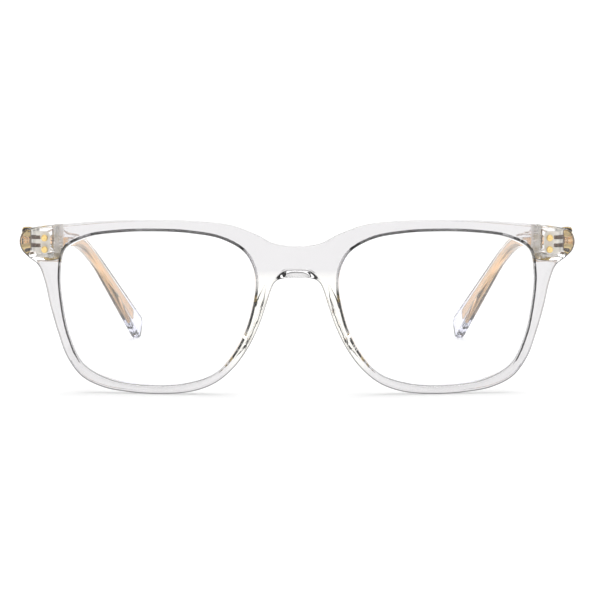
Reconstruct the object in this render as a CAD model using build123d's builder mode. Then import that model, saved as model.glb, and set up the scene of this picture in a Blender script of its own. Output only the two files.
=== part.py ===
from build123d import *
from math import sqrt
import os

# Clear full-rim spectacles, standing on a table as they are when taken off: the two rims and the
# two temple tips touch z = 0. The front faces -Y, the temples run back along +Y, and X is the width.
# The wearer looks along -Y, so the wearer's left is +X. Lengths are in mm.

# Overall sizes
FRAME_WIDTH = 142.0
DEPTH = 151.0
FRONT_Y = -DEPTH / 2

# Front: a slab bent round a vertical cylinder
FRONT_THICKNESS = 4.0
FACE_CURVE = 300.0
FRONT_EDGE_BEVEL = 0.3
CUT = 60.0

# End pieces: the blocks behind the outer corners that the hinges and temples meet
END_BACK = 13.5
END_WALL = 4.0
END_INNER = 61.4
END_SLOPE = 1.4
END_BOTTOM = 34.5
END_TOP = 43.0

# Lenses: a shell of one thickness, with a thin tongue round it that sits in the rim's groove
LENS_RADIUS = 180.0
LENS_THICKNESS = 1.8
LENS_FORWARD = 0.9
LENS_CENTRE_X = 36.0
LENS_CENTRE_Z = 22.0
LENS_CLEARANCE = 0.1
TONGUE_THICKNESS = 0.9
TONGUE_HEIGHT = 0.8
GROOVE_THICKNESS = 1.0
GROOVE_DEPTH = 0.9

# Nose pads: curved clear fins glued behind the nose side of each rim
PAD_DEPTH = 4.6
PAD_ROUND = 0.45

# Hinges: five barrels on a vertical screw
HINGE_X = 66.6
HINGE_Z = 38.35
HINGE_HEIGHT = 5.2
BARRELS = 5
BARREL_GAP = 0.06
BARREL_RADIUS = 1.2
PIVOT_BEHIND_END = 1.35
LEAF_THICKNESS = 1.0
LEAF_START = 1.5
FRONT_LEAF_LENGTH = 3.7
FRONT_LEAF_DROP = 0.5
FRONT_LEAF_ROUND = 1.2
KNUCKLE_SLOT = 1.3
TEMPLE_LEAF_LENGTH = 11.0
SCREW_RADIUS = 0.55
SCREW_CLEARANCE = 0.05
SCREW_HEAD_RADIUS = 1.0
SCREW_HEAD_HEIGHT = 0.5
SLOT_WIDTH = 0.25
SLOT_DEPTH = 0.25

# Rivets: two through each end piece, a little below the hinge's middle, and two through each temple
RIVET_X = 64.3
RIVET_DROP = 0.45
RIVET_SPACING = 2.95
RIVET_RADIUS = 0.6
RIVET_HEAD_RADIUS = 0.87
RIVET_HEAD_DEPTH = 0.6
RIVET_HEAD_PROUD = 0.15
TEMPLE_RIVET_SPACING = 2.95
TEMPLE_RIVET_BACK = 6.5
PEEN_RADIUS = 0.75
PEEN_HEIGHT = 0.2
RIVET_BEVEL = 0.1

# Temples: a bar shaped in side view, cut to its curve in plan view
BUTT_GAP = 0.15
BARREL_TO_TEMPLE = 0.2
TEMPLE_INNER = HINGE_X + BARREL_RADIUS + BARREL_TO_TEMPLE
TEMPLE_OUTER = FRAME_WIDTH / 2
CORE_CHANNEL_RADIUS = 0.4
CORE_CHANNEL_LENGTH = 14.0
CORE_X = 69.5
CORE_Z = 37.9

PIVOT_Y = FRONT_Y + END_BACK + PIVOT_BEHIND_END
END_Y = FRONT_Y + END_BACK
BUTT_Y = END_Y + BUTT_GAP
PAD_BACK_Y = FRONT_Y + FRONT_THICKNESS + PAD_DEPTH
HINGE_BOTTOM = HINGE_Z - HINGE_HEIGHT / 2
HINGE_TOP = HINGE_Z + HINGE_HEIGHT / 2
SIDES = (("left", 1), ("right", -1))

# The faces that the front rivets' heads sit on, that their shanks end at, and that they are peened to
RIVET_SEAT_Y = FRONT_Y + FACE_CURVE - sqrt(FACE_CURVE**2 - RIVET_X**2) + RIVET_HEAD_DEPTH
RIVET_SEAT = Plane.XZ.offset(-RIVET_SEAT_Y)
END_FACE = Plane.XZ.offset(-END_Y)
PEEN_FACE = Plane.XZ.offset(-END_Y - PEEN_HEIGHT)

# The wearer's left eye opening, as (x, z): the ends and middles of nine arcs
OPENING = [
    (35.5, 41.25), (27.1, 40.85), (18.8, 39.3), (12.9, 35.7), (10.5, 30.0), (11.3, 22.0),
    (14.5, 12.95), (20.5, 5.5), (28.0, 2.65), (37.0, 2.0), (47.4, 3.3), (54.5, 7.3),
    (58.1, 14.75), (59.8, 23.1), (60.3, 30.6), (59.05, 36.6), (53.7, 39.6), (45.0, 40.95),
]

# The left half of the outer outline, from the top of the bridge to its underside: sixteen arcs
OUTLINE = [
    (0, 37.6), (5.7, 38.2), (10.3, 40.5), (16.9, 42.9), (25.0, 43.85), (35.0, 44.1),
    (46.0, 43.95), (57.0, 43.15), (67.4, 42.0), (70.0, 41.0), (71.0, 38.6), (70.4, 36.3),
    (68.8, 34.6), (66.1, 32.5), (64.5, 28.6), (63.0, 22.0), (61.0, 15.1), (58.8, 9.2),
    (55.0, 4.2), (49.6, 1.55), (43.5, 0.45), (35.5, 0), (26.8, 0.7), (20.8, 2.9),
    (16.2, 6.7), (12.7, 11.4), (9.9, 16.9), (8.1, 21.9), (6.6, 26.6), (5.85, 28.2),
    (4.8, 29.05), (2.6, 29.4), (0, 29.5),
]

# The wearer's left nose pad's outline, as corners (x, z) with their radii
PAD = [
    ((7.1, 27.0), 0.9), ((9.6, 19.3), 30.0), ((12.5, 12.7), 15.0), ((15.2, 8.7), 0.5),
    ((16.5, 9.7), 0.5), ((14.2, 13.2), 10.0), ((12.0, 18.5), 20.0), ((10.2, 26.2), 1.1),
]

# The wearer's left front hinge leaf's outline, as corners (x, z) with their radii
FRONT_LEAF = [
    ((HINGE_X, HINGE_BOTTOM - FRONT_LEAF_DROP), 0), ((HINGE_X, HINGE_TOP), 0),
    ((HINGE_X - FRONT_LEAF_LENGTH, HINGE_TOP), FRONT_LEAF_ROUND),
    ((HINGE_X - FRONT_LEAF_LENGTH, HINGE_BOTTOM - FRONT_LEAF_DROP), FRONT_LEAF_ROUND),
]

# The temple's outline in side view, as corners (y behind the front, z) with their radii
BUTT = END_BACK + BUTT_GAP
TEMPLE_SIDE = [
    ((BUTT, 42.0), 0.6), ((88.4, 36.5), 72.0), ((152.28, 5.95), 3.2), ((148.38, -0.909), 2.4),
    ((90.2, 33.5), 80.0), ((BUTT, 35.2), 0.6),
]

# The temple's outline in plan view, as corners (x, y behind the front) with their radii
TEMPLE_PLAN = [
    ((TEMPLE_OUTER, BUTT), 0), ((TEMPLE_OUTER, 29.0), 60.0), ((63.8, 95.0), 70.0),
    ((53.1, 153.0), 0), ((50.35, 153.0), 0), ((61.2, 94.0), 70.0), ((TEMPLE_INNER, 29.0), 60.0),
    ((TEMPLE_INNER, BUTT), 0),
]

# The wire core's outline in the same two views
CORE_SIDE = [
    ((26.5, 39.2), 0.4), ((88.2, 35.5), 70.0), ((141.0, 9.6), 1.0), ((139.8, 6.4), 1.0),
    ((90.6, 33.4), 70.0), ((26.5, 36.7), 0.4),
]
CORE_PLAN = [
    ((70.1, 24.0), 0), ((70.1, 27.0), 45.0), ((62.95, 94.8), 70.0), ((52.2, 153.0), 0),
    ((51.0, 153.0), 0), ((61.75, 94.2), 70.0), ((68.9, 27.0), 45.0), ((68.9, 24.0), 0),
]


def front_y(x, inset=0.0):
    """Y of the bent front face at x, or of the surface inset behind it."""
    return FRONT_Y + FACE_CURVE - sqrt((FACE_CURVE - inset) ** 2 - x**2)


def arc_loop(points):
    """A closed chain of arcs: every other point is the middle of an arc."""
    for i in range(0, len(points), 2):
        ThreePointArc(points[i], points[i + 1], points[(i + 2) % len(points)])


def prism(face):
    """A face in the front's plane, drawn out far both ways."""
    return extrude(face, amount=2 * CUT, both=True)


def opening_face(side, grow=0.0):
    """One eye opening's outline, grown outward by grow."""
    with BuildSketch(Plane.XZ) as outline:
        with BuildLine():
            arc_loop([(side * x, z) for x, z in OPENING])
        make_face()
        if grow:
            offset(amount=grow)
    return outline.sketch


def lens_shell(side, thickness):
    """A spherical shell of the given thickness about the lens's middle surface."""
    lean = LENS_CENTRE_X / FACE_CURVE
    reach = LENS_RADIUS - LENS_FORWARD
    x = side * (LENS_CENTRE_X - reach * lean)
    y = front_y(LENS_CENTRE_X, FRONT_THICKNESS / 2) + reach * sqrt(1 - lean**2)
    outer = Sphere(LENS_RADIUS + thickness / 2)
    inner = Sphere(LENS_RADIUS - thickness / 2)
    return Pos(x, y, LENS_CENTRE_Z) * (outer - inner)


def barrel(index):
    """Low and high z of one hinge barrel, counted from the bottom."""
    pitch = HINGE_HEIGHT / BARRELS
    low = HINGE_BOTTOM + index * pitch
    return low + BARREL_GAP / 2, low + pitch - BARREL_GAP / 2


def rivet_pair(spacing, middle):
    """The names and heights of two rivets, one above the other."""
    return (("lower", middle - spacing / 2), ("upper", middle + spacing / 2))


def rivet_body(plane, place, length, radius):
    """A plain round length of a rivet, standing on a plane."""
    with BuildSketch(plane) as profile:
        with Locations(place):
            Circle(radius)
    return extrude(profile.sketch, amount=length)


def rounded_face(plane, corners, side_x=1):
    """A face with rounded corners on the given plane."""
    with BuildSketch(plane) as sketch:
        with BuildLine():
            FilletPolyline(
                [(side_x * u, v) for (u, v), radius in corners],
                radius=[radius for point, radius in corners], close=True,
            )
        make_face()
    return sketch.sketch


def bent_bar(side, side_corners, plan_corners):
    """A bar with one outline in side view and another in plan view, both behind the front."""
    from_front = Pos(0, FRONT_Y, 0)
    side_face = from_front * rounded_face(Plane.YZ, side_corners)
    plan_face = from_front * rounded_face(Plane.XY, plan_corners, side)
    return extrude(side_face, amount=side * 2 * CUT) & extrude(plan_face, amount=CUT)


def end_block(side):
    """The block behind one outer corner, trimmed to the front's outline."""
    with BuildSketch(Plane.XY.offset(END_BOTTOM)) as plan:
        with BuildLine():
            Polyline(
                (side * (END_INNER - END_SLOPE), END_Y - END_WALL), (side * END_INNER, END_Y),
                (side * (TEMPLE_OUTER + 1), END_Y), (side * (TEMPLE_OUTER + 1), END_Y - END_WALL),
                close=True,
            )
        make_face()
    block = extrude(plan.sketch, amount=END_TOP - END_BOTTOM)
    return block & prism(front_outline.sketch)


def hinge_barrel(side, index, web_x, web_y):
    """A hinge barrel whose web reaches from the pivot to a corner web_x outward and web_y back."""
    low, high = barrel(index)
    with BuildSketch(Plane.XY.offset(low)) as profile:
        with Locations((side * HINGE_X, PIVOT_Y)):
            Circle(BARREL_RADIUS)
        with Locations((side * (HINGE_X + web_x / 2), PIVOT_Y + web_y / 2)):
            Rectangle(abs(web_x), abs(web_y))
    return extrude(profile.sketch, amount=high - low)


def save(part, label):
    """Names a finished piece and writes its file."""
    part.label = label
    export_step(part, f"parts/{label}.step")


os.makedirs("parts", exist_ok=True)

with BuildSketch(Plane.XZ) as front_outline:
    with BuildLine():
        arc_loop(OUTLINE + [(-x, z) for x, z in reversed(OUTLINE[1:-1])])
    make_face()

FRONT_RIVETS = rivet_pair(RIVET_SPACING, HINGE_Z - RIVET_DROP)
TEMPLE_RIVETS = rivet_pair(TEMPLE_RIVET_SPACING, HINGE_Z)

# The solids that are cut from the front on each side, and its end blocks
eye_cutters = [prism(opening_face(side)) for name, side in SIDES]
end_blocks = [end_block(side) for name, side in SIDES]
groove_rings = [
    prism(opening_face(side, GROOVE_DEPTH)) & lens_shell(side, GROOVE_THICKNESS)
    for name, side in SIDES
]
leaf_plates = [
    extrude(rounded_face(END_FACE, FRONT_LEAF, side), amount=LEAF_THICKNESS) for name, side in SIDES
]
rivet_holes = [
    rivet_body(plane, (side * RIVET_X, height), length, radius)
    for name, side in SIDES
    for level, height in FRONT_RIVETS
    for plane, length, radius in ((RIVET_SEAT, CUT, RIVET_HEAD_RADIUS), (END_FACE, END_BACK, RIVET_RADIUS))
]

# The front: the bent slab and its end pieces, trimmed to the outline, then both eye openings,
# the lens grooves, the rivet holes and the recesses that the hinge leaves lie in.
with BuildPart() as front_frame:
    with BuildSketch(Plane.XY.offset(-1)):
        with Locations((0, FRONT_Y + FACE_CURVE)):
            Circle(FACE_CURVE)
            Circle(FACE_CURVE - FRONT_THICKNESS, mode=Mode.SUBTRACT)
        with Locations((0, FRONT_Y)):
            Rectangle(2 * FRAME_WIDTH, CUT, mode=Mode.INTERSECT)
    extrude(amount=CUT)
    extrude(to_extrude=front_outline.sketch, amount=2 * CUT, both=True, mode=Mode.INTERSECT)
    add(eye_cutters, mode=Mode.SUBTRACT)
    bent_faces = front_frame.faces().filter_by(GeomType.CYLINDER).filter_by(lambda f: f.area > 200)
    chamfer(bent_faces.sort_by(Axis.Y)[0].edges(), FRONT_EDGE_BEVEL)
    add(end_blocks)
    add(groove_rings, mode=Mode.SUBTRACT)
    add(leaf_plates, mode=Mode.SUBTRACT)
    add(rivet_holes, mode=Mode.SUBTRACT)
save(front_frame.part, "front_frame")

for name, side in SIDES:
    # A lens: the shell inside the opening, and the tongue that goes into the groove.
    lens_body = prism(opening_face(side, -LENS_CLEARANCE)) & lens_shell(side, LENS_THICKNESS)
    tongue = prism(opening_face(side, TONGUE_HEIGHT)) & lens_shell(side, TONGUE_THICKNESS)
    with BuildPart() as lens:
        add(lens_body)
        add(tongue)
    save(lens.part, f"lens_{name}")

    # A nose pad: a fin behind the rim, its front face on the rim's bent back face.
    pad_face = rounded_face(Plane.XZ.offset(-PAD_BACK_Y), PAD, side)
    with BuildPart() as nose_pad:
        extrude(to_extrude=pad_face, amount=2 * PAD_DEPTH)
        fillet(nose_pad.faces().sort_by(Axis.Y)[-1].edges(), PAD_ROUND)
        with BuildSketch(Plane.XY):
            with Locations((0, FRONT_Y + FACE_CURVE)):
                Circle(FACE_CURVE - FRONT_THICKNESS)
        extrude(amount=CUT, mode=Mode.INTERSECT)
    save(nose_pad.part, f"nose_pad_{name}")

    # The front leaf of a hinge: a plate let into the end piece, with the odd barrels, and slots that
    # the even barrels turn in.
    plate = extrude(rounded_face(END_FACE, FRONT_LEAF, side), amount=LEAF_THICKNESS)
    shank_holes = [
        rivet_body(END_FACE, (side * RIVET_X, height), LEAF_THICKNESS, RIVET_RADIUS)
        for level, height in FRONT_RIVETS
    ]
    front_barrels = [
        hinge_barrel(side, index, -BARREL_RADIUS, -PIVOT_BEHIND_END) for index in range(0, BARRELS, 2)
    ]
    with BuildPart() as front_leaf:
        add(plate)
        for index in range(1, BARRELS, 2):
            low, high = barrel(index)
            slot_x = side * (HINGE_X - KNUCKLE_SLOT / 2)
            with Locations((slot_x, END_Y - LEAF_THICKNESS / 2, (low + high) / 2)):
                Box(KNUCKLE_SLOT, LEAF_THICKNESS, high - low, mode=Mode.SUBTRACT)
        add(front_barrels)
        with Locations((side * HINGE_X, PIVOT_Y, HINGE_Z)):
            Cylinder(SCREW_RADIUS, 2 * HINGE_HEIGHT, mode=Mode.SUBTRACT)
        add(shank_holes, mode=Mode.SUBTRACT)
    save(front_leaf.part, f"hinge_front_leaf_{name}")

    # The front rivets: a flush head, a shank and a peened end on the leaf.
    for level, height in FRONT_RIVETS:
        place = (side * RIVET_X, height)
        head = rivet_body(RIVET_SEAT, place, RIVET_HEAD_DEPTH + RIVET_HEAD_PROUD, RIVET_HEAD_RADIUS)
        shank = rivet_body(END_FACE, place, END_Y - RIVET_SEAT_Y, RIVET_RADIUS)
        peened_end = rivet_body(PEEN_FACE, place, PEEN_HEIGHT, PEEN_RADIUS)
        with BuildPart() as front_rivet:
            add(head)
            chamfer(front_rivet.edges().group_by(Axis.Y)[0], RIVET_BEVEL)
            add(shank)
            add(peened_end)
        save(front_rivet.part, f"front_rivet_{level}_{name}")

    # The temple leaf: a plate on the inside of the temple, with the even barrels.
    temple_barrels = [
        hinge_barrel(side, index, TEMPLE_INNER - HINGE_X, LEAF_START) for index in range(1, BARRELS, 2)
    ]
    leaf_inside = Plane.YZ.offset(side * (TEMPLE_INNER - LEAF_THICKNESS))
    rivet_length = TEMPLE_OUTER - TEMPLE_INNER + LEAF_THICKNESS
    shanks = [
        rivet_body(leaf_inside, (PIVOT_Y + TEMPLE_RIVET_BACK, height), side * rivet_length, RIVET_RADIUS)
        for level, height in TEMPLE_RIVETS
    ]
    with BuildPart() as temple_leaf:
        leaf_y = PIVOT_Y + (LEAF_START + TEMPLE_LEAF_LENGTH) / 2
        with Locations((side * (TEMPLE_INNER - LEAF_THICKNESS / 2), leaf_y, HINGE_Z)):
            Box(LEAF_THICKNESS, TEMPLE_LEAF_LENGTH - LEAF_START, HINGE_HEIGHT)
        add(temple_barrels)
        with Locations((side * HINGE_X, PIVOT_Y, HINGE_Z)):
            Cylinder(SCREW_RADIUS + SCREW_CLEARANCE, 2 * HINGE_HEIGHT, mode=Mode.SUBTRACT)
        add(shanks, mode=Mode.SUBTRACT)
    save(temple_leaf.part, f"hinge_temple_leaf_{name}")

    # The hinge screw: a slotted head on the top barrel and a plain shank through all five.
    hinge_top = HINGE_TOP - BARREL_GAP / 2
    with BuildPart() as screw:
        with BuildSketch(Plane.XY.offset(HINGE_BOTTOM)):
            with Locations((side * HINGE_X, PIVOT_Y)):
                Circle(SCREW_RADIUS)
        extrude(amount=HINGE_HEIGHT)
        with BuildSketch(Plane.XY.offset(hinge_top)):
            with Locations((side * HINGE_X, PIVOT_Y)):
                Circle(SCREW_HEAD_RADIUS)
        extrude(amount=SCREW_HEAD_HEIGHT)
        chamfer(screw.edges().group_by(Axis.Z)[-1], RIVET_BEVEL)
        with Locations((side * HINGE_X, PIVOT_Y, hinge_top + SCREW_HEAD_HEIGHT)):
            Box(2 * SCREW_HEAD_RADIUS, SLOT_WIDTH, 2 * SLOT_DEPTH, mode=Mode.SUBTRACT)
    save(screw.part, f"hinge_screw_{name}")

    # The temple: a clear bar, with the core's cavity, the channel it was driven in by, and the
    # rivet holes.
    core_bar = bent_bar(side, CORE_SIDE, CORE_PLAN)
    clear_bar = bent_bar(side, TEMPLE_SIDE, TEMPLE_PLAN)
    with BuildPart() as temple:
        add(clear_bar)
        add(core_bar, mode=Mode.SUBTRACT)
        with BuildSketch(Plane.XZ.offset(-BUTT_Y)):
            with Locations((side * CORE_X, CORE_Z)):
                Circle(CORE_CHANNEL_RADIUS)
        extrude(amount=-CORE_CHANNEL_LENGTH, mode=Mode.SUBTRACT)
        add(shanks, mode=Mode.SUBTRACT)
    save(temple.part, f"temple_{name}")

    with BuildPart() as temple_core:
        add(core_bar)
    save(temple_core.part, f"temple_core_{name}")

    # The temple rivets: a shank through the temple, and a peened end inside the leaf.
    for (level, height), shank in zip(TEMPLE_RIVETS, shanks):
        place = (PIVOT_Y + TEMPLE_RIVET_BACK, height)
        peened_end = rivet_body(leaf_inside, place, -side * PEEN_HEIGHT, PEEN_RADIUS)
        with BuildPart() as temple_rivet:
            add(shank)
            add(peened_end)
        save(temple_rivet.part, f"temple_rivet_{level}_{name}")
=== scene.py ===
import math

import bmesh
import bpy
import numpy as np
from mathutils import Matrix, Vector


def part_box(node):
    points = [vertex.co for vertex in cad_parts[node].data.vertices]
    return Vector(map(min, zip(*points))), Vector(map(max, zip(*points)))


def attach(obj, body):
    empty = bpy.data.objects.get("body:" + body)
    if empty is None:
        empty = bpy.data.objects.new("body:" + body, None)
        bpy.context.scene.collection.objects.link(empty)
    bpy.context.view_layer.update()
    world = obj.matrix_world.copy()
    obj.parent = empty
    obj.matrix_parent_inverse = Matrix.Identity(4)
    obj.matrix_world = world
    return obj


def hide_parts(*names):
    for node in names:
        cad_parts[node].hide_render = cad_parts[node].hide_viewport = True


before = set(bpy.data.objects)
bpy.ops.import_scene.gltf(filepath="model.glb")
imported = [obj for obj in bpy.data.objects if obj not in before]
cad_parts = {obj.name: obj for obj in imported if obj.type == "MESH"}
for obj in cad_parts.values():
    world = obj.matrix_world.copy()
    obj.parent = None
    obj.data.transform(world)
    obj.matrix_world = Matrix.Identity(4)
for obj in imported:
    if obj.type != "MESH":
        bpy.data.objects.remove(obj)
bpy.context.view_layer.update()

# Clear spectacles with gold rivets and gold wire cores, on a white table. Lengths in this script are
# in mm, and turned into metres where a mesh is made. The front faces -Y and +X is the wearer's left.
MM = 0.001


def node_box(node):
    """A CAD node's lowest and highest corners, in mm."""
    low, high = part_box(node)
    return np.array(low) / MM, np.array(high) / MM


# Places taken from the frame
FRONT_LOW, FRONT_HIGH = node_box("front_frame")
FRONT_Y = FRONT_LOW[1]
END_Y = FRONT_HIGH[1]
HALF_WIDTH = FRONT_HIGH[0]
BUTT = node_box("temple_left")[0][1] - FRONT_Y
SIDES = (("left", 1), ("right", -1))

# Sizes that the CAD model also has
FACE_CURVE = 300.0
FRONT_THICKNESS = 4.0
LENS_RADIUS = 180.0
LENS_THICKNESS = 1.8
LENS_FORWARD = 0.9
LENS_X, LENS_Z = 36.0, 22.0
PAD_DEPTH = 4.6

# Sizes of the visual model alone. A hair's gap keeps touching pieces from sharing a surface, and
# corners that are closer together than a weld become one.
FRONT_ROUND = 0.6
HAIR = 0.03
WELD = 0.002
FINE_WELD = 0.0005
CUT_WELD = 0.0001

# The left eye opening and the left half of the outer outline, as (x, z)
OPENING = [
    (35.5, 41.25), (27.1, 40.85), (18.8, 39.3), (12.9, 35.7), (10.5, 30.0), (11.3, 22.0),
    (14.5, 12.95), (20.5, 5.5), (28.0, 2.65), (37.0, 2.0), (47.4, 3.3), (54.5, 7.3),
    (58.1, 14.75), (59.8, 23.1), (60.3, 30.6), (59.05, 36.6), (53.7, 39.6), (45.0, 40.95),
]
OUTLINE = [
    (0, 37.6), (5.7, 38.2), (10.3, 40.5), (16.9, 42.9), (25.0, 43.85), (35.0, 44.1),
    (46.0, 43.95), (57.0, 43.15), (67.4, 42.0), (70.0, 41.0), (71.0, 38.6), (70.4, 36.3),
    (68.8, 34.6), (66.1, 32.5), (64.5, 28.6), (63.0, 22.0), (61.0, 15.1), (58.8, 9.2),
    (55.0, 4.2), (49.6, 1.55), (43.5, 0.45), (35.5, 0), (26.8, 0.7), (20.8, 2.9),
    (16.2, 6.7), (12.7, 11.4), (9.9, 16.9), (8.1, 21.9), (6.6, 26.6), (5.85, 28.2),
    (4.8, 29.05), (2.6, 29.4), (0, 29.5),
]


def front_y(x, inset=0.0):
    """Y of the bent front face at x, or of the surface inset behind it."""
    return FRONT_Y + FACE_CURVE - np.sqrt((FACE_CURVE - inset) ** 2 - np.square(x))


def smooth_loop(points, spacing):
    """A smooth closed curve through the points, sampled about every spacing mm."""
    points = np.array(points, float)
    count = len(points)
    out = []
    for i in range(count):
        p0, p1, p2, p3 = (points[(i + k) % count] for k in (-1, 0, 1, 2))
        d1, d2, d3 = (max(np.linalg.norm(b - a), 1e-6) ** 0.5 for a, b in ((p0, p1), (p1, p2), (p2, p3)))
        m1 = (p1 - p0) / d1 - (p2 - p0) / (d1 + d2) + (p2 - p1) / d2
        m2 = (p2 - p1) / d2 - (p3 - p1) / (d2 + d3) + (p3 - p2) / d3
        steps = max(2, int(np.linalg.norm(p2 - p1) / spacing))
        for t in np.arange(steps) / steps:
            h1, h2 = 2 * t**3 - 3 * t**2 + 1, t**3 - 2 * t**2 + t
            h3, h4 = -2 * t**3 + 3 * t**2, t**3 - t**2
            out.append(h1 * p1 + h2 * d2 * m1 + h3 * p2 + h4 * d2 * m2)
    return np.array(out)


def resample(loop, count):
    """The closed loop as count points evenly spaced along it."""
    closed = np.vstack([loop, loop[:1]])
    along = np.r_[0, np.cumsum(np.linalg.norm(np.diff(closed, axis=0), axis=1))]
    at = np.linspace(0, along[-1], count, endpoint=False)
    return np.column_stack([np.interp(at, along, closed[:, k]) for k in range(2)])


def even_path(points, places):
    """The points at the given places, from 0 to 1, along an open path."""
    along = np.r_[0, np.cumsum(np.linalg.norm(np.diff(points, axis=0), axis=1))]
    return np.column_stack([np.interp(places * along[-1], along, points[:, k]) for k in range(2)])


def grow(loop, distance):
    """The loop moved outward by distance. The loop may run either way."""
    ahead = np.roll(loop, -1, axis=0) - np.roll(loop, 1, axis=0)
    normal = np.column_stack([ahead[:, 1], -ahead[:, 0]])
    normal /= np.linalg.norm(normal, axis=1)[:, None]
    x, z = loop[:, 0], loop[:, 1]
    turning = np.sum(x * np.roll(z, -1) - np.roll(x, -1) * z)
    return loop + normal * distance * np.sign(turning)


def rounded_path(corners, step):
    """Points along straight runs joined by arcs. A corner is (u, v, radius)."""
    corners = [np.array(c, float) for c in corners]
    out = [corners[0][:2]]
    for before, corner, after in zip(corners, corners[1:], corners[2:]):
        p, radius = corner[:2], corner[2]
        a = (before[:2] - p) / np.linalg.norm(before[:2] - p)
        b = (after[:2] - p) / np.linalg.norm(after[:2] - p)
        half = math.acos(np.clip(a @ b, -1, 1)) / 2
        start, end = p + a * radius / math.tan(half), p + b * radius / math.tan(half)
        centre = p + (a + b) / np.linalg.norm(a + b) * radius / math.sin(half)
        turn = math.pi - 2 * half
        for t in np.linspace(0, 1, max(3, int(radius * turn / step))):
            w = [math.sin((1 - t) * turn), math.sin(t * turn)]
            out.append(centre + (w[0] * (start - centre) + w[1] * (end - centre)) / math.sin(turn))
    out.append(corners[-1][:2])
    return np.array(out)


def ease(value, low, high):
    """0 up to low, 1 from high on, and smooth between. Low may be the larger of the two."""
    t = np.clip((value - low) / (high - low), 0, 1)
    return t * t * (3 - 2 * t)


def add_object(name, mesh, material, body):
    """Puts a smooth mesh in the scene with its material and body."""
    for polygon in mesh.polygons:
        polygon.use_smooth = True
    mesh.materials.clear()
    mesh.materials.append(material)
    piece = bpy.data.objects.new(name, mesh)
    bpy.context.collection.objects.link(piece)
    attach(piece, body)
    return piece


def ring_mesh(name, rings, first=None, last=None):
    """A closed skin over rings of points, in mm. Each end is a point, or flat where none is given."""
    rings = np.array(rings, float) * MM
    layers, count = rings.shape[:2]
    verts = [tuple(v) for v in rings.reshape(-1, 3)]
    faces = []
    for i in range(layers - 1):
        for j in range(count):
            k = (j + 1) % count
            faces.append((i * count + j, i * count + k, (i + 1) * count + k, (i + 1) * count + j))
    for layer, point in ((0, first), (layers - 1, last)):
        loop = [layer * count + j for j in range(count)]
        if point is None:
            faces.append(tuple(loop))
        else:
            verts.append(tuple(np.array(point) * MM))
            faces += [(len(verts) - 1, loop[j], loop[(j + 1) % count]) for j in range(count)]
    mesh = bpy.data.meshes.new(name)
    mesh.from_pydata(verts, [], faces)
    work = bmesh.new()
    work.from_mesh(mesh)
    bmesh.ops.recalc_face_normals(work, faces=work.faces)
    work.to_mesh(mesh)
    work.free()
    return mesh


def modifier(piece, kind, **values):
    """Adds a modifier with the given settings."""
    made = piece.modifiers.new(kind.lower(), kind)
    for key, value in values.items():
        setattr(made, key, value)
    return made


# ---------------------------------------------------------------- materials

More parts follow.
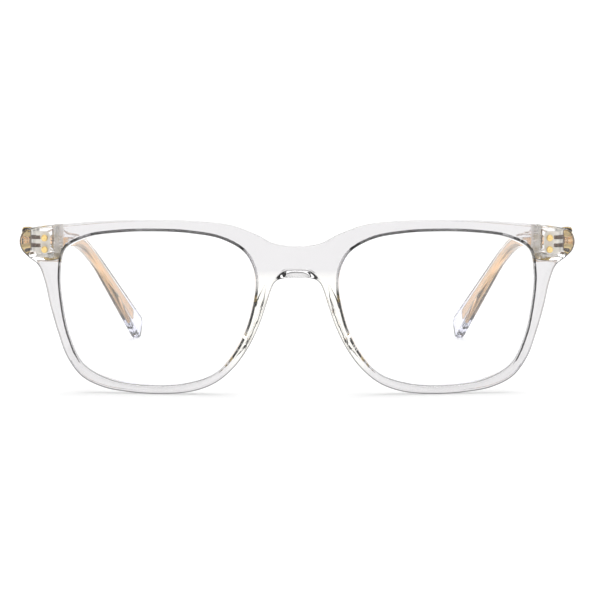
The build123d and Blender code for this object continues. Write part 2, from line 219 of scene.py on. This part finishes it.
class Nodes:
    """A material's node tree, with short calls to add and join nodes."""

    def __init__(self, name):
        """Makes the material, with a plain shader to start from."""
        self.material = bpy.data.materials.new(name)
        self.material.use_nodes = True
        self.tree = self.material.node_tree
        self.shader = self.tree.nodes["Principled BSDF"]

    def add(self, kind, **inputs):
        """A new node with the given input values."""
        node = self.tree.nodes.new(kind)
        for key, value in inputs.items():
            node.inputs[key.replace("_", " ")].default_value = value
        return node

    def join(self, source, target):
        """Links an output to an input."""
        self.tree.links.new(source, target)

    def set(self, **values):
        """Sets the shader's own inputs, for what is the same all over the surface."""
        for key, value in values.items():
            self.shader.inputs[key.replace("_", " ")].default_value = value

    def noise(self, scale, stretch=(1, 1, 1), detail=3.0):
        """A noise texture in the piece's own space, in which the scale counts per metre."""
        coords = self.tree.nodes.new("ShaderNodeTexCoord")
        mapping = self.tree.nodes.new("ShaderNodeMapping")
        mapping.inputs["Scale"].default_value = stretch
        texture = self.add("ShaderNodeTexNoise", Scale=scale, Detail=detail)
        self.join(coords.outputs["Object"], mapping.inputs["Vector"])
        self.join(mapping.outputs["Vector"], texture.inputs["Vector"])
        return texture.outputs["Fac"]

    def rescale(self, source, smooth=False, **limits):
        """A value moved from one range to another and kept inside it. Both are 0 to 1 if not given."""
        node = self.add("ShaderNodeMapRange", **limits)
        if smooth:
            node.interpolation_type = "SMOOTHSTEP"
        self.join(source, node.inputs["Value"])
        return node.outputs["Result"]

    def ranged(self, source, low, high):
        """A value from 0 to 1 spread over low to high."""
        return self.rescale(source, To_Min=low, To_Max=high)

    def blend(self, source, low, high):
        """A colour between low and high, by a value from 0 to 1."""
        ramp = self.tree.nodes.new("ShaderNodeValToRGB")
        ramp.color_ramp.elements[0].color = (*low, 1)
        ramp.color_ramp.elements[1].color = (*high, 1)
        self.join(source, ramp.inputs["Fac"])
        return ramp.outputs["Color"]

    def edge_on(self, start, end):
        """0 where the surface faces the viewer, rising from start to 1 at end as it turns edge on."""
        facing = self.add("ShaderNodeLayerWeight", Blend=0.5)
        return self.rescale(facing.outputs["Facing"], smooth=True, From_Min=start, From_Max=end)

    def underside(self, least, reach=0.4):
        """1 where the outer surface faces down, falling to least where it faces up."""
        geometry = self.tree.nodes.new("ShaderNodeNewGeometry")
        parts = self.tree.nodes.new("ShaderNodeSeparateXYZ")
        self.join(geometry.outputs["Normal"], parts.inputs["Vector"])
        sign = self.ranged(geometry.outputs["Backfacing"], -1.0, 1.0)
        down = self.math("MULTIPLY", parts.outputs["Z"], sign)
        return self.rescale(down, From_Min=-reach, From_Max=reach, To_Min=least)

    def place(self, bands):
        """1 inside all the bands of place and 0 outside. A band is (axis, where it is 0, where it is 1),
        in mm. X counts outward from the middle, and Y back from the front."""
        coords = self.tree.nodes.new("ShaderNodeTexCoord")
        parts = self.tree.nodes.new("ShaderNodeSeparateXYZ")
        self.join(coords.outputs["Object"], parts.inputs["Vector"])
        outward = self.math("ABSOLUTE", parts.outputs["X"])
        result = None
        for axis, low, high in bands:
            source = outward if axis == "X" else parts.outputs[axis]
            shift = FRONT_Y if axis == "Y" else 0.0
            inside = self.rescale(source, From_Min=(low + shift) * MM, From_Max=(high + shift) * MM)
            result = inside if result is None else self.math("MULTIPLY", result, inside)
        return result

    def math(self, operation, first, second=None):
        """One or two values put through a maths operation."""
        node = self.tree.nodes.new("ShaderNodeMath")
        node.operation = operation
        self.join(first, node.inputs[0])
        if second:
            self.join(second, node.inputs[1])
        return node.outputs["Value"]

    def mix(self, factor, color, other):
        """A colour socket faded into another colour by the factor."""
        node = self.tree.nodes.new("ShaderNodeMix")
        node.data_type = "RGBA"
        sockets = [s for s in node.inputs if s.enabled]
        self.join(factor, sockets[0])
        self.join(color, sockets[1])
        sockets[2].default_value = (*other, 1)
        return next(s for s in node.outputs if s.enabled)

    def bump(self, source, strength, distance):
        """Gives the shader a bump, whose distance is in mm."""
        node = self.add("ShaderNodeBump", Strength=strength, Distance=distance * MM)
        self.join(source, node.inputs["Height"])
        self.join(node.outputs["Normal"], self.shader.inputs["Normal"])


# The scale of the clear plastic's cloud and of the metals' grain, per metre, and the grain's depth
CLOUD_SCALE = 60
GRAIN_SCALE = 900
GRAIN_DEPTH = 0.03

# How far side on the painted edge shade starts and is full, and how much of it is left on faces that
# look up
PAINTED_SHADE_START, PAINTED_SHADE_FULL = 0.05, 0.4
PAINTED_SHADE_LEAST = 0.15


def clear_plastic(name, low, high, roughness=0.012, index=1.49, edge=None, areas=()):
    """Polished clear plastic, faintly cloudy in its tint. It may take a dark edge colour where it is
    seen side on, strongest on faces that look down, which is painted shade, and another colour or finish
    in some areas."""
    nodes = Nodes(name)
    nodes.set(Transmission_Weight=1.0, IOR=index)
    cloud = nodes.noise(CLOUD_SCALE, detail=2.0)
    tint = nodes.blend(cloud, low, high)
    finish = nodes.ranged(cloud, 0.0, roughness)
    for color, satin, bands in areas:
        inside = nodes.place(bands)
        if color:
            tint = nodes.mix(inside, tint, color)
        if satin:
            finish = nodes.math("MAXIMUM", finish, nodes.ranged(inside, 0.0, satin))
    # Painted shade: a dark edge colour where the plastic is seen side on, mostly on faces that look down
    if edge:
        side_on = nodes.edge_on(PAINTED_SHADE_START, PAINTED_SHADE_FULL)
        tint = nodes.mix(nodes.math("MULTIPLY", side_on, nodes.underside(PAINTED_SHADE_LEAST)), tint, edge)
    nodes.join(tint, nodes.shader.inputs["Base Color"])
    nodes.join(finish, nodes.shader.inputs["Roughness"])
    return nodes.material


def metal(name, low, high, roughness, grain, strength, metallic=1.0):
    """Metal with a fine directional grain that shifts its colour and roughness."""
    nodes = Nodes(name)
    nodes.set(Metallic=metallic)
    streaks = nodes.noise(GRAIN_SCALE, grain, detail=4.0)
    nodes.join(nodes.blend(streaks, low, high), nodes.shader.inputs["Base Color"])
    nodes.join(nodes.ranged(streaks, *roughness), nodes.shader.inputs["Roughness"])
    nodes.bump(streaks, strength, GRAIN_DEPTH)
    return nodes.material


# Where the clear plastic differs, as (colour or None, roughness, bands of place)
FRONT_AREAS = (
    # painted light: the end pieces and the nose sides tinted lighter where light shines through them;
    # and the satin step behind the end pieces
    ((0.97, 0.965, 0.95), 0, (("X", 60.6, 62.0), ("Z", 33.0, 35.5))),
    ((0.95, 0.94, 0.90), 0, (("X", 19.0, 14.0), ("Z", 31.5, 28.5), ("Z", 2.0, 7.0))),
    (None, 0.5, (("X", 59.2, 59.7), ("X", 62.2, 61.8), ("Y", 8.0, 8.4), ("Z", 33.5, 35.0))),
)
TEMPLE_AREAS = (
    # the bluish tips
    ((0.84, 0.84, 0.97), 0, (("Y", 118.0, 140.0),)),
)
# The front's near-black edge colour is painted shade along its edges, darkest on faces that look down.
CLEAR_FRONT = clear_plastic("clear_front", (0.72, 0.71, 0.72), (0.75, 0.74, 0.75),
                            edge=(0.01, 0.01, 0.01), areas=FRONT_AREAS)
CLEAR_TEMPLE = clear_plastic("clear_temple", (0.95, 0.95, 0.98), (0.97, 0.97, 1.0),
                             areas=TEMPLE_AREAS)
# Real pads have a higher index, but these have to stay as faint as in the photo.
CLEAR_PAD = clear_plastic("clear_pad", (0.97, 0.96, 0.94), (0.99, 0.98, 0.96),
                          roughness=0.03, index=1.16)
LENS = clear_plastic("lens_resin", (0.985, 0.99, 1.0), (0.995, 0.998, 1.0), roughness=0.0)
GOLD = metal("gold_rivet", (0.90, 0.62, 0.22), (1.0, 0.78, 0.36),
             roughness=(0.3, 0.42), grain=(1, 1, 1), strength=0.15, metallic=0.55)
CORE = metal("gold_core", (1.0, 0.62, 0.33), (1.0, 0.72, 0.43),
             roughness=(0.15, 0.25), grain=(1, 0.05, 0.3), strength=0.15)
LEAF = metal("leaf_silver", (0.97, 0.93, 0.86), (1.0, 0.98, 0.95),
             roughness=(0.3, 0.45), grain=(0.2, 1, 3), strength=0.3, metallic=0.6)
# The temple's hinge leaf is metal coloured dark brown, which is painted shade for the shadow it lies in.
PAINTED_SHADE_HINGE = metal("hinge_leaf_painted_shade", (0.09, 0.06, 0.045), (0.22, 0.16, 0.12),
              roughness=(0.25, 0.4), grain=(0.2, 1, 3), strength=0.3)
STEEL = metal("screw_steel", (0.55, 0.54, 0.52), (0.8, 0.79, 0.77),
              roughness=(0.2, 0.35), grain=(1, 1, 1), strength=0.2)


# ---------------------------------------------------------------- the front

def flat_slab(loops):
    """A slab with rounded edges in the XY plane, with the given outer loop and holes."""
    curve = bpy.data.curves.new("slab", "CURVE")
    curve.dimensions = "2D"
    curve.fill_mode = "BOTH"
    curve.extrude = FRONT_THICKNESS / 2 - FRONT_ROUND
    curve.bevel_depth = FRONT_ROUND
    curve.bevel_resolution = 4
    curve.offset = -FRONT_ROUND
    for loop in loops:
        spline = curve.splines.new("POLY")
        spline.points.add(len(loop) - 1)
        spline.points.foreach_set("co", [c for x, z in loop for c in (x, z, 0, 1)])
        spline.use_cyclic_u = True
    holder = bpy.data.objects.new("slab", curve)
    bpy.context.collection.objects.link(holder)
    bpy.context.view_layer.update()
    evaluated = holder.evaluated_get(bpy.context.evaluated_depsgraph_get())
    mesh = bpy.data.meshes.new_from_object(evaluated)
    bpy.data.objects.remove(holder)
    return mesh


# The spacing of the front's outline points, and the width of the strips that the slab is cut into. The
# end pieces, beyond END_X, are also cut across, over END_HEIGHTS.
OUTLINE_STEP = 0.7
STRIP = 1.5
END_X = 57.0
END_HEIGHTS = (32.0, 44.0)

# Where the front thickens into its end pieces, and where its edge is sloped under the bridge, as the
# x and z at which that starts and is full. The edge rises by BRIDGE_SLOPE at the back.
END_BLEND_X, END_BLEND_Z = (59.5, 63.0), (33.2, 35.6)
BRIDGE_BLEND_X, BRIDGE_BLEND_Z = (6.6, 2.6), (32.5, 29.6)
BRIDGE_SLOPE = 1.9


def end_pieces(work):
    """The slab's corners, edges and faces that lie wholly in its end pieces."""
    verts = [v for v in work.verts if abs(v.co.x) > END_X]
    whole = [part for part in work.edges[:] + work.faces[:]
             if all(abs(v.co.x) > END_X for v in part.verts)]
    return verts + whole


def slice_slab(work):
    """Cuts the slab into narrow strips, so that it bends smoothly."""
    for x in np.arange(-HALF_WIDTH + STRIP / 2, HALF_WIDTH, STRIP):
        geometry = work.verts[:] + work.edges[:] + work.faces[:]
        bmesh.ops.bisect_plane(work, geom=geometry, plane_co=(x, 0, 0), plane_no=(1, 0, 0),
                               dist=CUT_WELD)
    for z in np.arange(*END_HEIGHTS, STRIP / 2):
        bmesh.ops.bisect_plane(work, geom=end_pieces(work), plane_co=(0, z, 0), plane_no=(0, 1, 0),
                               dist=CUT_WELD)


def make_front():
    """The clear front: bent round the face, and thickened behind the outer corners."""
    outer = smooth_loop(OUTLINE + [(-x, z) for x, z in reversed(OUTLINE[1:-1])], OUTLINE_STEP)
    opening = smooth_loop(OPENING, OUTLINE_STEP)
    mesh = flat_slab([outer, opening, opening * (-1, 1)])
    work = bmesh.new()
    work.from_mesh(mesh)
    bmesh.ops.remove_doubles(work, verts=work.verts, dist=WELD)
    slice_slab(work)
    bmesh.ops.triangulate(work, faces=work.faces, quad_method="BEAUTY", ngon_method="BEAUTY")
    bmesh.ops.remove_doubles(work, verts=work.verts, dist=FINE_WELD)
    for vert in work.verts:
        x, z = vert.co.x, vert.co.y
        back = vert.co.z / FRONT_THICKNESS + 0.5
        end = ease(abs(x), *END_BLEND_X) * ease(z, *END_BLEND_Z)
        under_bridge = ease(abs(x), *BRIDGE_BLEND_X) * ease(z, *BRIDGE_BLEND_Z)
        z += BRIDGE_SLOPE * under_bridge * back
        thickness = FRONT_THICKNESS + end * (END_Y - HAIR - front_y(x) - FRONT_THICKNESS)
        vert.co = (x * MM, (front_y(x) + back * thickness) * MM, z * MM)
    bmesh.ops.recalc_face_normals(work, faces=work.faces)
    work.to_mesh(mesh)
    work.free()
    piece = add_object("clear_front", mesh, CLEAR_FRONT, "front")
    modifier(piece, "WEIGHTED_NORMAL", weight=80)
    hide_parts("front_frame")


# ---------------------------------------------------------------- lenses and pads

# A lens is LENS_GAP smaller all round than its eye opening, and its tongue reaches past the opening's
# edge into the rim. Its faces are rings of points, at LENS_STEPS of the way out.
LENS_GAP = 0.12
TONGUE_HEIGHT = 0.7
TONGUE_HALF = 0.42
LENS_POINTS = 220
LENS_STEPS = [0.08, 0.2, 0.35, 0.5, 0.65, 0.8, 0.9, 0.96, 0.99, 1.0]


def make_lens(name, side):
    """A lens: two spherical faces, and a thin tongue round it that goes into the rim."""
    lean = LENS_X / FACE_CURVE
    reach = LENS_RADIUS - LENS_FORWARD
    centre_x = LENS_X - reach * lean
    centre_y = front_y(LENS_X, FRONT_THICKNESS / 2) + reach * math.sqrt(1 - lean**2)
    edge = resample(smooth_loop(OPENING, 0.5), LENS_POINTS)
    middle = np.array([LENS_X, LENS_Z])

    def layer(loop, depth):
        """The loop of (x, z) laid on the lens's sphere, at a depth behind its mid surface."""
        radius = LENS_RADIUS - depth
        y = centre_y - np.sqrt(radius**2 - (loop[:, 0] - centre_x) ** 2 - (loop[:, 1] - LENS_Z) ** 2)
        return np.column_stack([side * loop[:, 0], y, loop[:, 1]])

    half = LENS_THICKNESS / 2
    inside, outside = grow(edge, -LENS_GAP), grow(edge, TONGUE_HEIGHT)
    rings = [layer(middle + (inside - middle) * f, -half) for f in LENS_STEPS]
    rings += [layer(inside, -TONGUE_HALF), layer(outside, -TONGUE_HALF)]
    rings += [layer(outside, TONGUE_HALF), layer(inside, TONGUE_HALF)]
    rings += [layer(middle + (inside - middle) * f, half) for f in reversed(LENS_STEPS)]
    poles = [layer(middle[None, :], depth)[0] for depth in (-half, half)]
    mesh = ring_mesh(f"lens_{name}", rings, *poles)
    piece = add_object(f"lens_resin_{name}", mesh, LENS, "front")
    modifier(piece, "WEIGHTED_NORMAL", weight=80)
    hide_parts(f"lens_{name}")


# A nose pad's nose side and rim side, as (x, z, radius), from the top down
PAD_LINES = (
    [(7.2, 27.6, 0), (9.6, 19.3, 30.0), (12.5, 12.7, 15.0), (15.6, 8.4, 0)],
    [(8.8, 27.8, 0), (12.0, 18.5, 20.0), (14.2, 13.2, 10.0), (16.4, 9.2, 0)],
)

# How deep and how wide, of the full width, a pad is at its two ends
PAD_THIN = 0.15
PAD_NARROW = 0.35


def squarer(value, power=2.6):
    """A sine or cosine pushed outward, which makes a circle a little square."""
    return np.sign(value) * np.abs(value) ** (2 / power)


def make_pad(name, side):
    """A nose pad: a rounded fin that follows the nose side of the rim and fades into it at its ends."""
    along = np.linspace(0, 1, 56)
    nose, rim = (even_path(rounded_path(line, 0.3), along) for line in PAD_LINES)
    angles = np.linspace(0, 2 * math.pi, 32, endpoint=False)
    across, back = squarer(np.cos(angles)), squarer(np.sin(angles)).clip(0, None)
    rings = []
    for s, a, b in zip(along, nose, rim):
        depth = PAD_THIN + (PAD_DEPTH - PAD_THIN) * ease(s, 0.0, 0.42) * ease(1 - s, 0.0, 0.3)
        width = PAD_NARROW + (1 - PAD_NARROW) * ease(s, 0.0, 0.2) * ease(1 - s, 0.0, 0.2)
        points = (a + b) / 2 + np.outer(across, (a - b) / 2 * width)
        y = front_y(points[:, 0]) + FRONT_THICKNESS + HAIR + back * depth
        rings.append(np.column_stack([side * points[:, 0], y, points[:, 1]]))
    mesh = ring_mesh(f"pad_{name}", rings)
    piece = add_object(f"clear_pad_{name}", mesh, CLEAR_PAD, "front")
    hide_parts(f"nose_pad_{name}")


# ---------------------------------------------------------------- temples

# The temple's top and bottom lines in side view, as (y behind the front, z, radius), and its outer
# and inner lines in plan, as (y behind the front, x, radius)
TEMPLE_INNER = 68.0 + HAIR
TEMPLE_SIDE = (
    [(BUTT, 42.0, 0), (88.4, 36.5, 72.0), (152.1, 6.05, 0)],
    [(BUTT, 35.2, 0), (90.2, 33.5, 80.0), (148.36, -0.88, 0)],
)
TEMPLE_PLAN = (
    [(BUTT, HALF_WIDTH, 0), (29.0, HALF_WIDTH, 60.0), (95.0, 63.8, 70.0), (153.0, 53.1, 0)],
    [(BUTT, TEMPLE_INNER, 0), (29.0, TEMPLE_INNER, 60.0), (94.0, 61.2, 70.0), (153.0, 50.35, 0)],
)

# The gold core's, likewise
CORE_SIDE = (
    [(26.5, 39.2, 0), (88.2, 35.5, 70.0), (141.0, 9.6, 0)],
    [(26.5, 36.7, 0), (90.6, 33.4, 70.0), (139.8, 6.4, 0)],
)
CORE_PLAN = (
    [(24.0, 70.1, 0), (27.0, 70.1, 45.0), (94.8, 62.95, 70.0), (153.0, 52.2, 0)],
    [(24.0, 68.9, 0), (27.0, 68.9, 45.0), (94.2, 61.75, 70.0), (153.0, 51.0, 0)],
)

# Where a bar's sections stand along it, closer together at its ends, the spacing of the points of its
# outlines, and the radius of its tip in plan
BAR_PLACES = np.r_[np.linspace(0, 0.008, 9)[:-1], np.linspace(0.008, 0.965, 150)[:-1],
                   np.linspace(0.965, 1, 28)]
BAR_STEP = 0.4
TIP_ROUND = 0.9


def end_round(travel, reach):
    """How far a corner of radius reach falls back, travel mm from the end."""
    short = np.clip(reach - travel, 0, reach)
    return reach - math.sqrt(reach**2 - short**2)


def rounded_section(half_w, half_h, radius):
    """Points round a rounded rectangle, as (u, v)."""
    radius = min(radius, half_w * 0.95, half_h * 0.95)
    out = []
    for quadrant in range(4):
        u = (half_w - radius) * (1, -1, -1, 1)[quadrant]
        v = (half_h - radius) * (1, 1, -1, -1)[quadrant]
        angles = (quadrant + np.linspace(0, 1, 9)) * math.pi / 2
        out += [(u + radius * math.cos(a), v + radius * math.sin(a)) for a in angles]
    return np.array(out)


def make_bar(name, side, lines, plan, corner, ends, material):
    """A bar with one outline in side view and another in plan, to stand for the CAD node it is named
    after. ends are its radii: both corners of the front end, then the top and bottom of the tip."""
    front_radius, tip_top, tip_bottom = ends
    top, bottom = (even_path(rounded_path(line, BAR_STEP), BAR_PLACES) for line in lines)
    outer, inner = (rounded_path(line, BAR_STEP) for line in plan)
    middle = (top + bottom) / 2
    travel = np.r_[0, np.cumsum(np.linalg.norm(np.diff(middle, axis=0), axis=1))]
    rings = []
    for low, high, gone in zip(bottom, top, travel):
        left = travel[-1] - gone
        up = (high - low) / np.linalg.norm(high - low)
        at_front = end_round(gone, front_radius)
        high = high - up * (at_front + end_round(left, tip_top))
        low = low + up * (at_front + end_round(left, tip_bottom))
        half_h = np.linalg.norm(high - low) / 2
        half_w = 1 - 0.5 * (at_front / front_radius + end_round(left, TIP_ROUND) / TIP_ROUND)
        thickness = (np.interp(middle[0, 0], *outer.T) - np.interp(middle[0, 0], *inner.T)) / 2
        section = rounded_section(half_w * thickness, half_h, corner)
        places = (low + high) / 2 + np.outer(section[:, 1], up)
        outside, inside = np.interp(places[:, 0], *outer.T), np.interp(places[:, 0], *inner.T)
        x = (outside + inside) / 2 + section[:, 0] / thickness * (outside - inside) / 2
        rings.append(np.column_stack([side * x, places[:, 0] + FRONT_Y, places[:, 1].clip(0)]))
    node = name.split("_", 1)[1]
    body = "temple_" + node.rsplit("_", 1)[1]
    piece = add_object(name, ring_mesh(name, rings), material, body)
    modifier(piece, "WEIGHTED_NORMAL", weight=60)
    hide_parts(node)


# ---------------------------------------------------------------- small metal parts

# Edges that turn by more than this many radians are rounded
SHARP = 0.6


def refined(node, material, body, width):
    """A CAD piece's own shape with its sharp edges rounded."""
    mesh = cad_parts[node].data.copy()
    work = bmesh.new()
    work.from_mesh(mesh)
    bmesh.ops.remove_doubles(work, verts=work.verts, dist=0.001 * MM)
    bmesh.ops.dissolve_limit(work, angle_limit=math.radians(1), verts=work.verts, edges=work.edges)
    work.to_mesh(mesh)
    work.free()
    piece = add_object(f"{node}_finished", mesh, material, body)
    modifier(piece, "BEVEL", width=width * MM, segments=3, limit_method="ANGLE", angle_limit=SHARP)
    modifier(piece, "TRIANGULATE", quad_method="BEAUTY", ngon_method="BEAUTY")
    modifier(piece, "WEIGHTED_NORMAL", weight=60)
    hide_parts(node)


def turned_mesh(name, profile, place, direction):
    """A round part turned from a profile of (radius, height along direction)."""
    direction = np.array(direction, float)
    up = np.array((0, 0, 1.0))
    across = np.cross(direction, up)
    angles = np.linspace(0, 2 * math.pi, 40, endpoint=False)
    around = [math.cos(a) * across + math.sin(a) * up for a in angles]
    rings = [[np.array(place) + direction * h + r * way for way in around] for r, h in profile[1:-1]]
    return ring_mesh(name, rings, *(np.array(place) + direction * profile[k][1] for k in (0, -1)))


# A rivet's outer end from its middle outward, as (radius, height from the face): a front rivet's
# shallow dome with a small raised centre, and a temple rivet's flat end
RIVET_HEAD = [(0, 0.03), (0.16, 0.04), (0.24, 0.11), (0.5, 0.14), (0.72, 0.11), (0.83, 0.03),
              (0.87, -0.1), (0.87, -0.55), (0.6, -0.6)]
RIVET_FLAT = [(0, -0.3), (0.4, -0.3), (0.57, -0.34), (0.6, -0.42)]
HEAD_HEIGHT = 0.15


def peened(end):
    """A rivet's shank and its spread inner end, which lies end mm behind the face."""
    return [(0.6, 0.25 - end), (0.74, 0.15 - end), (0.7, 0.03 - end), (0, -end)]


def make_front_rivet(name, level):
    """A front rivet, with its head on the front and its inner end behind the leaf."""
    node = f"front_rivet_{level}_{name}"
    low, high = node_box(node)
    middle = (low + high) / 2
    face = low[1] + HEAD_HEIGHT
    profile = RIVET_HEAD + peened(high[1] - face)
    mesh = turned_mesh(node, profile, (middle[0], face, middle[2]), (0, -1, 0))
    piece = add_object(f"gold_{node}", mesh, GOLD, "front")
    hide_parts(node)


def make_temple_rivet(name, side, level):
    """A temple rivet, peened over inside the leaf."""
    node = f"temple_rivet_{level}_{name}"
    low, high = node_box(node)
    middle = (low + high) / 2
    outer = max(abs(low[0]), abs(high[0]))
    profile = RIVET_FLAT + peened(high[0] - low[0])
    mesh = turned_mesh(node, profile, (side * outer, middle[1], middle[2]), (side, 0, 0))
    piece = add_object(f"gold_{node}", mesh, GOLD, f"temple_{name}")
    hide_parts(node)


make_front()
for name, side in SIDES:
    make_lens(name, side)
    make_pad(name, side)
    make_bar(f"clear_temple_{name}", side, TEMPLE_SIDE, TEMPLE_PLAN, 0.9, (0.5, 3.2, 2.4),
             CLEAR_TEMPLE)
    make_bar(f"gold_temple_core_{name}", side, CORE_SIDE, CORE_PLAN, 0.4, (0.4, 1.0, 1.0),
             CORE)
    for level in ("lower", "upper"):
        make_front_rivet(name, level)
        make_temple_rivet(name, side, level)
    refined(f"hinge_front_leaf_{name}", LEAF, "front", 0.1)
    refined(f"hinge_temple_leaf_{name}", PAINTED_SHADE_HINGE, f"temple_{name}", 0.1)
    refined(f"hinge_screw_{name}", STEEL, "front", 0.06)


# ---------------------------------------------------------------- stage, light and camera

# The table's half width, in metres, how far under the tips and rims it lies, in mm, and the scale of
# its grain, per metre
FLOOR_REACH = 20.0
FLOOR_DROP = 0.1
FLOOR_GRAIN = 300


def make_floor():
    """A white table top that glows slightly, large enough to reach the horizon."""
    mesh = bpy.data.meshes.new("table_top")
    work = bmesh.new()
    bmesh.ops.create_grid(work, x_segments=8, y_segments=8, size=FLOOR_REACH)
    work.to_mesh(mesh)
    work.free()
    nodes = Nodes("table_white")
    nodes.set(Roughness=0.9, Emission_Color=(1, 1, 1, 1), Emission_Strength=0.5)
    grain = nodes.noise(FLOOR_GRAIN, detail=2.0)
    white = nodes.blend(grain, (0.55, 0.55, 0.55), (0.57, 0.57, 0.57))
    nodes.join(white, nodes.shader.inputs["Base Color"])
    mesh.materials.append(nodes.material)
    floor = bpy.data.objects.new("table_top", mesh)
    bpy.context.collection.objects.link(floor)
    floor.location.z = -FLOOR_DROP * MM


class Sky:
    """A world that is bright only in chosen bands of direction."""

    def __init__(self, strength):
        """Makes the world, with the direction split into its parts."""
        self.world = bpy.data.worlds.new("studio")
        self.world.use_nodes = True
        self.tree = self.world.node_tree
        coords = self.tree.nodes.new("ShaderNodeTexCoord")
        self.parts = self.tree.nodes.new("ShaderNodeSeparateXYZ")
        self.tree.links.new(coords.outputs["Generated"], self.parts.inputs["Vector"])
        self.background = self.tree.nodes["Background"]
        self.background.inputs["Strength"].default_value = strength

    def band(self, axis, low, high):
        """0 where the direction's part along axis is at low, and 1 where it is at high."""
        node = self.tree.nodes.new("ShaderNodeMapRange")
        node.interpolation_type = "SMOOTHSTEP"
        node.inputs["From Min"].default_value = low
        node.inputs["From Max"].default_value = high
        self.tree.links.new(self.parts.outputs[axis], node.inputs["Value"])
        return node.outputs["Result"]

    def combine(self, operation, first, second):
        """Two values joined by a maths operation."""
        node = self.tree.nodes.new("ShaderNodeMath")
        node.operation = operation
        self.tree.links.new(first, node.inputs[0])
        self.tree.links.new(second, node.inputs[1])
        return node.outputs["Value"]

    def shade(self, source, dark):
        """Lights the sky where source is 1, and leaves it at dark where source is 0."""
        ramp = self.tree.nodes.new("ShaderNodeValToRGB")
        ramp.color_ramp.elements[0].color = (dark, dark, dark, 1)
        ramp.color_ramp.elements[1].color = (1, 1, 1, 1)
        self.tree.links.new(source, ramp.inputs["Fac"])
        self.tree.links.new(ramp.outputs["Color"], self.background.inputs["Color"])
        bpy.context.scene.world = self.world


def make_world(bright, dark):
    """A white backdrop all round, low down, a white ceiling and a soft box in front, with dark between
    them. Clear edges show the dark part as thin lines."""
    sky = Sky(bright)
    backdrop = sky.band("Z", 0.45, 0.2)
    front_light = sky.combine("MULTIPLY", sky.band("Y", -0.5, -0.75), sky.band("Z", -0.05, 0.12))
    ceiling = sky.combine("MAXIMUM", sky.band("Z", 0.80, 0.92), front_light)
    sky.shade(sky.combine("MAXIMUM", backdrop, ceiling), dark)


def make_sun(strength, spread, tilt):
    """One very large soft light from above."""
    data = bpy.data.lights.new("softbox", "SUN")
    data.energy = strength
    data.angle = spread
    light = bpy.data.objects.new("softbox", data)
    light.rotation_euler = tilt
    bpy.context.collection.objects.link(light)


# The camera: how far right of the middle, before the front and above the table it stands, in mm, how
# many degrees it looks down, and its focal length
CAMERA_X, CAMERA_AWAY, CAMERA_HEIGHT = 0.73, 500.0, 64.0
CAMERA_DOWN = 4.56
CAMERA_LENS = 119.6


def make_camera():
    """A long lens half a metre in front, a little above the frame and aimed slightly down."""
    data = bpy.data.cameras.new("camera")
    data.sensor_width = 36.0
    data.lens = CAMERA_LENS
    data.clip_start = 0.01
    camera = bpy.data.objects.new("camera", data)
    camera.location = (CAMERA_X * MM, (FRONT_Y - CAMERA_AWAY) * MM, CAMERA_HEIGHT * MM)
    camera.rotation_euler = (math.radians(90 - CAMERA_DOWN), 0, 0)
    bpy.context.collection.objects.link(camera)
    bpy.context.scene.camera = camera


make_floor()
make_world(bright=1.08, dark=0.03)
make_sun(strength=2.1, spread=math.radians(70), tilt=(math.radians(-10), math.radians(5), 0))
make_camera()
bpy.context.scene.view_settings.view_transform = "Standard"
